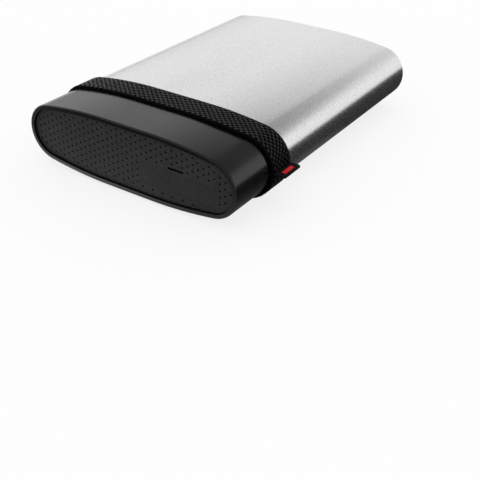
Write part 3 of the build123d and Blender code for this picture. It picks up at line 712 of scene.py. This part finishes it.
# end panel: the solid with a field of small round holes in even triangles, none over the port's cover
panelSet = {"front": -58.0, "rim": 1.65, "margin": 1.0, "edgeSpacing": 0.5, "cell": 0.25, "startX": 1.4904,
            "startZ": 12.903, "stepX": 1.9831, "stepZ": 1.1506, "columns": 41, "rows": 21, "holeRadius": 0.35,
            "holeDepth": 0.6, "sunkFrom": 0.02, "sunkTo": 0.1, "holeShadeTone": 0.002,
            "plain": (4.4, 34.3, 4.25, 13.5), "plainCorner": 2.6, "lightX": 18.78, "lightZ": 13.55,
            "lightHalf": 4.1, "lightHigh": 0.9}


def roundedLoop(x0, x1, z0, z1, corner, steps=8):
    loop = []
    for cx, cz, start in ((x1 - corner, z1 - corner, 0), (x0 + corner, z1 - corner, 1),
                          (x0 + corner, z0 + corner, 2), (x1 - corner, z0 + corner, 3)):
        for i in range(steps + 1):
            angle = math.pi / 2 * (start + i / steps)
            loop.append((cx + corner * math.cos(angle), cz + corner * math.sin(angle)))
    return loop


def inLoop(loop, x, z):
    inside = False
    for (ax, az), (bx, bz) in zip(loop, loop[1:] + loop[:1]):
        if (az > z) != (bz > z) and x < ax + (z - az) / (bz - az) * (bx - ax):
            inside = not inside
    return inside


def makeDotField():
    # the part of the face that takes holes, as a fine grid of small squares
    s = panelSet
    edge = [(x, section["middle"] + z) for x, z in ovalPoints(-s["rim"] - s["margin"], s["edgeSpacing"])]
    plain = roundedLoop(*s["plain"], s["plainCorner"])
    cell, h = s["cell"], s["cell"] / 2
    points, faces = [], []
    for i in range(int(section["width"] / cell)):
        for j in range(int(section["height"] / cell)):
            x, z = cell * (i + 0.5) - section["width"] / 2, cell * (j + 0.5)
            byLight = abs(x - s["lightX"]) < s["lightHalf"] and abs(z - s["lightZ"]) < s["lightHigh"]
            if inLoop(edge, x, z) and not inLoop(plain, x, z) and not byLight:
                n = len(points)
                corners = ((x - h, z - h), (x + h, z - h), (x + h, z + h), (x - h, z + h))
                points += [(cx, s["front"], cz) for cx, cz in corners]
                faces.append((n, n + 1, n + 2, n + 3))
    return makePiece("dotField", meshOf("dotField", points, faces))


def makeDotTree():
    tree, given, result = newGroup("dottedFace", "GeometryNodeTree", [
        ("Geometry", "Geometry", None), ("Field", "Object", None), ("Columns", "Int", 41),
        ("Rows", "Int", 21), ("Step X", "Float", 2 * mm), ("Step Z", "Float", 1.15 * mm),
        ("Centre", "Vector", (0.0, 0.0, 0.0)), ("Hole Radius", "Float", 0.3 * mm),
        ("Hole Depth", "Float", 0.5 * mm), ("Finish", "Material", None)],
        [("Geometry", "Geometry")])
    upright = (math.pi / 2, 0.0, 0.0)
    wide = calc(tree, "MULTIPLY", calc(tree, "SUBTRACT", given["Columns"], 1.0), given["Step X"])
    tall = calc(tree, "MULTIPLY", calc(tree, "SUBTRACT", given["Rows"], 1.0), given["Step Z"])
    grid = addNode(tree, "GeometryNodeMeshGrid", {
        "Size X": wide, "Size Y": tall, "Vertices X": given["Columns"], "Vertices Y": given["Rows"]})
    stand = addNode(tree, "GeometryNodeTransform", {
        "Geometry": grid, "Translation": given["Centre"], "Rotation": upright})
    even = everyOther(tree, given["Rows"], "LESS_THAN")
    # a hole is drilled where a ray from before the face meets the field
    field = addNode(tree, "GeometryNodeObjectInfo", {"Object": given["Field"]}, transform_space="RELATIVE")
    spot = addNode(tree, "GeometryNodeInputPosition")
    ray = addNode(tree, "GeometryNodeRaycast", {
        "Target Geometry": field.outputs["Geometry"], "Ray Direction": (0.0, 1.0, 0.0), "Ray Length": 5 * mm,
        "Source Position": vectorCalc(tree, "ADD", spot, (0.0, -1 * mm, 0.0))})
    pick = addNode(tree, "FunctionNodeBooleanMath", {0: even, 1: ray.outputs["Is Hit"]}, operation="AND")
    drill = addNode(tree, "GeometryNodeMeshCone", {
        "Vertices": 12, "Radius Top": given["Hole Radius"], "Radius Bottom": given["Hole Radius"],
        "Depth": calc(tree, "MULTIPLY", given["Hole Depth"], 2.0)}, fill_type="NGON")
    back = addNode(tree, "ShaderNodeCombineXYZ", {"Z": calc(tree, "MULTIPLY", given["Hole Depth"], -1.0)})
    halfIn = addNode(tree, "GeometryNodeTransform", {"Geometry": drill, "Translation": back})
    holes = addNode(tree, "GeometryNodeInstanceOnPoints", {
        "Points": stand, "Selection": pick, "Instance": halfIn, "Rotation": upright})
    bits = addNode(tree, "GeometryNodeRealizeInstances", {0: holes})
    cut = addNode(tree, "GeometryNodeMeshBoolean", operation="DIFFERENCE", solver="EXACT")
    feed(tree, cut, {0: given["Geometry"], 1: bits})
    real = addNode(tree, "GeometryNodeRealizeInstances", {0: cut})
    finish = addNode(tree, "GeometryNodeSetMaterial", {"Geometry": real, "Material": given["Finish"]})
    feed(tree, result, {"Geometry": finish})
    return tree


# matt panel: the grain of the plastic, and painted shade, near black, down in the holes
def makePanelMaterial():
    s = panelSet
    material = grainMaterial("mattPanel", grey(0.0105), grey(0.046), (0.5, 0.6), grain=0.6, cloud=15,
                             clouds=0.5, bump=0.012, Specular_IOR_Level=0.2)
    tree = material.node_tree
    shader = tree.nodes["Principled BSDF"]
    plain = shader.inputs["Base Color"].links[0].from_socket
    depth = addNode(tree, "ShaderNodeSeparateXYZ", {0: objectPlace(tree)}).outputs["Y"]
    # painted shade in the holes, from just behind the face inwards
    holeShade = addNode(tree, "ShaderNodeMapRange", {
        "Value": depth, "From Min": (s["front"] + s["sunkFrom"]) * mm,
        "From Max": (s["front"] + s["sunkTo"]) * mm})
    feed(tree, shader, {"Base Color": mixTone(tree, holeShade, plain, grey(s["holeShadeTone"]))})
    return material


def makePanel():
    s = panelSet
    mesh = nodes["end_panel"].data.copy()
    closeUp(mesh, smooth=False)
    mattPanel = makePanelMaterial()
    panel = makePiece("dottedPanel", mesh, mattPanel)
    field = makeDotField()
    centre = Vector((s["startX"], s["front"], s["startZ"])) * mm
    growNodes(panel, makeDotTree(), {
        "Field": field, "Columns": s["columns"], "Rows": s["rows"], "Step X": s["stepX"] * mm,
        "Step Z": s["stepZ"] * mm, "Centre": centre, "Hole Radius": s["holeRadius"] * mm,
        "Hole Depth": s["holeDepth"] * mm, "Finish": mattPanel})
    dropHelper(field)
    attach(panel, "case")
    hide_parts("end_panel")
    print("panel:", len(panel.data.polygons), "faces")


makePanel()

# port cover: the soft skin on its face, which all but closes the gap round it
skinSet = {"centreX": 19.35, "centreZ": 8.7, "width": 29.86, "height": 7.76, "corner": 2.08, "front": -58.012,
           "back": -57.75, "bevel": 0.03}


def makeCoverSkin(material):
    s = skinSet
    points = []
    for y, inset in ((s["back"], 0.0), (s["front"] + s["bevel"], 0.0), (s["front"], s["bevel"])):
        halfX, halfZ = s["width"] / 2 - inset, s["height"] / 2 - inset
        loop = roundedLoop(s["centreX"] - halfX, s["centreX"] + halfX, s["centreZ"] - halfZ,
                           s["centreZ"] + halfZ, s["corner"] - inset)
        points += [(x, y, z) for x, z in loop]
    n = len(points) // 3
    faces = gridFaces(3, n, closed=True) + [tuple(range(n)), tuple(range(2 * n, 3 * n))]
    mesh = meshOf("coverSkin", points, faces)
    closeUp(mesh, smooth=False)
    skin = makePiece("coverSkin", mesh, material)
    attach(skin, "cover")
    print("cover: skinned")


makeCoverSkin(softCover)

# the stage: a pale floor, white all round, and cards that only reflections see
stageSet = {"floor": -1.05, "half": 3000.0, "pale": 0.95, "thrown": 0.4, "glow": 0.8, "cardSides": 96}


def stageObject(name, points, faces, material):
    made = makePiece(name, meshOf(name, points, faces), material)
    return made


def makeFloor():
    s = stageSet
    material, tree, shader = newMaterial("paleFloor", Roughness=0.9, Specular_IOR_Level=0.0)
    rays = addNode(tree, "ShaderNodeLightPath").outputs
    # it throws back less light than it shows
    tone = mixTone(tree, rays["Is Diffuse Ray"], grey(s["pale"]), grey(s["thrown"]))
    feed(tree, shader, {"Base Color": tone})
    white = addNode(tree, "ShaderNodeEmission", {"Color": grey(1.0), "Strength": 1.0})
    mirrored = calc(tree, "MAXIMUM", rays["Is Glossy Ray"], rays["Is Transmission Ray"])
    seen = calc(tree, "MULTIPLY", calc(tree, "MAXIMUM", rays["Is Camera Ray"], mirrored), s["glow"])
    both = addNode(tree, "ShaderNodeMixShader", {0: seen, 1: shader, 2: white})
    feed(tree, tree.nodes["Material Output"], {"Surface": both})
    h, z = s["half"], s["floor"]
    stageObject("floor", [(-h, -h, z), (h, -h, z), (h, h, z), (-h, h, z)], [(0, 1, 2, 3)], material)


def glossyCard(name, points, faces, covers, level):
    # a card that only reflections see, and that fades out where its cover is 0
    material, tree, shader = newMaterial(name)
    tree.nodes.remove(shader)
    glow = addNode(tree, "ShaderNodeEmission", {"Color": grey(level), "Strength": 1.0})
    clear = addNode(tree, "ShaderNodeBsdfTransparent")
    cover = addNode(tree, "ShaderNodeAttribute", attribute_name="cover")
    both = addNode(tree, "ShaderNodeMixShader", {0: cover.outputs["Fac"], 1: clear, 2: glow})
    feed(tree, tree.nodes["Material Output"], {"Surface": both})
    card = stageObject(name, points, faces, material)
    shares = card.data.attributes.new("cover", "FLOAT", "POINT")
    shares.data.foreach_set("value", covers)
    for rays in ("camera", "diffuse", "transmission", "volume_scatter", "shadow"):
        setattr(card, "visible_" + rays, False)


def shareAt(table, place):  # a value between the places of a table of (place, share)
    if place <= table[0][0]:
        return table[0][1]
    for (a, low), (b, high) in zip(table, table[1:]):
        if place <= b:
            return low + (high - low) * (place - a) / (b - a)
    return table[-1][1]


def roundCard(name, rings, level, sweep=((0, 1), (360, 1)), back=((0, 1), (1, 1)), shiftX=0.0):
    # rings of (radius, height, cover), faded by (degrees from +X, cover) and by (share of +Y, cover)
    sides = stageSet["cardSides"]
    points, covers = [], []
    for radius, height, share in rings:
        for i in range(sides):
            turn = 2 * math.pi * i / sides
            spot = Vector((radius * math.cos(turn), radius * math.sin(turn), height))
            points.append(spot + Vector((shiftX, 0, 0)))
            covers.append(share * shareAt(sweep, 360 * i / sides) * shareAt(back, spot.normalized().y))
    glossyCard(name, points, gridFaces(len(rings), sides, closed=True), covers, level)


def polar(elevation, height):
    return height / math.tan(math.radians(elevation))


# a grey card overhead, faded by elevation in degrees
overhead = {"height": 1500.0, "level": 0.2, "shiftX": 450.0,
            "fade": [(89, 1.0), (75, 1.0), (62, 1.0), (54, 0.94), (48, 0.895), (44, 0.885), (41.5, 0.89),
                     (38.5, 0.95), (37, 0.98), (34, 0.85), (32, 0.65), (30, 0.42), (27.5, 0.2), (23.5, 0.05),
                     (19.5, 0.0)],
            "back": [(0.75, 1.0), (0.8, 0.8), (0.83, 0.66), (0.865, 0.55), (0.92, 0.35), (0.97, 0.15)]}
roundCard("overheadCard", [(polar(e, overhead["height"]), overhead["height"], share)
                           for e, share in overhead["fade"]], overhead["level"], back=overhead["back"],
          shiftX=overhead["shiftX"])
# dark ground round the body, open towards -X
ground = {"level": 0.035, "rings": [(1.0, -1.0, 0.93), (38.0, -0.98, 0.93), (50.0, -0.97, 1.0),
                                    (450.0, -0.96, 1.0), (600.0, -0.95, 0.5), (800.0, -0.95, 0.0)],
          "sweep": [(0, 1.0), (90, 1.0), (120, 0.0), (205, 0.0), (235, 1.0), (270, 0.95), (280, 0.8),
                    (292, 0.72), (300, 0.8), (312, 0.9), (330, 0.97), (345, 1.0), (360, 1.0)]}
roundCard("groundCard", ground["rings"], ground["level"], ground["sweep"])
# a grey wall far off on the left, that draws the sleeve's left edge
wall = {"level": 0.3, "rings": [(1400.0, 10.0, 0.7), (1400.0, 110.0, 0.7), (1400.0, 190.0, 0.35),
                                (1400.0, 260.0, 0.0)],
        "sweep": [(0, 0.0), (112, 0.0), (125, 1.0), (143, 1.0), (158, 0.0), (360, 0.0)]}
roundCard("wallCard", wall["rings"], wall["level"], wall["sweep"])

# bright sheets on the floor before the cap, for its rim to reflect: (place, share) along X and Y
bounceSheets = [
    {"level": 2.0, "height": -0.85,
     "acrossX": [(-68, 0.0), (-59, 0.55), (-50, 0.8), (-10, 0.6), (12, 0.35), (25, 0.16), (34, 0.3),
                 (60, 0.3), (100, 0.0)],
     "alongY": [(-57, 0.3), (-59.7, 0.35), (-60.9, 1.0), (-62.6, 1.0), (-64.5, 0.55), (-73, 0.32),
                (-80, 0.08), (-95, 0.0)]},
    {"level": 0.5, "height": -0.9,
     "acrossX": [(-140, 0.0), (-100, 0.9), (-60, 1.0), (-48, 0.5), (-30, 0.0)],
     "alongY": [(-30, 0.0), (-57, 1.0), (-75, 1.0), (-84, 0.45), (-92, 0.1), (-105, 0.0)]}]


def makeBounce(name, sheet):
    across, along = sheet["acrossX"], sheet["alongY"]
    points = [(x, y, sheet["height"]) for x, sx in across for y, sy in along]
    covers = [sx * sy for x, sx in across for y, sy in along]
    glossyCard(name, points, gridFaces(len(across), len(along)), covers, sheet["level"])


for number, sheet in enumerate(bounceSheets):
    makeBounce("bounceCard%d" % number, sheet)
makeFloor()
world = bpy.data.worlds.new("whiteRoom")
bpy.context.scene.world = world
world.use_nodes = True
feed(world.node_tree, world.node_tree.nodes["Background"], {"Color": grey(1.0), "Strength": 1.0})

# camera, matched to the photograph
cameraSet = {"eye": (150.8597, -225.1366, 128.3223), "azimuth": 32.9065, "elevation": 33.3336, "roll": 1.2806,
             "lens": 59.3115, "sensor": 36.0, "near": 10.0, "far": 20000.0}


def makeCamera():
    s = cameraSet
    data = bpy.data.cameras.new("camera")
    data.lens, data.sensor_width = s["lens"], s["sensor"]
    data.clip_start, data.clip_end = s["near"] * mm, s["far"] * mm
    camera = bpy.data.objects.new("camera", data)
    bpy.context.scene.collection.objects.link(camera)
    camera.matrix_world = (Matrix.Translation(Vector(s["eye"]) * mm)
                           @ Matrix.Rotation(math.radians(s["azimuth"]), 4, "Z")
                           @ Matrix.Rotation(math.radians(90 - s["elevation"]), 4, "X")
                           @ Matrix.Rotation(math.radians(s["roll"]), 4, "Z"))
    bpy.context.scene.camera = camera


makeCamera()
bpy.context.scene.view_settings.view_transform = "Standard"
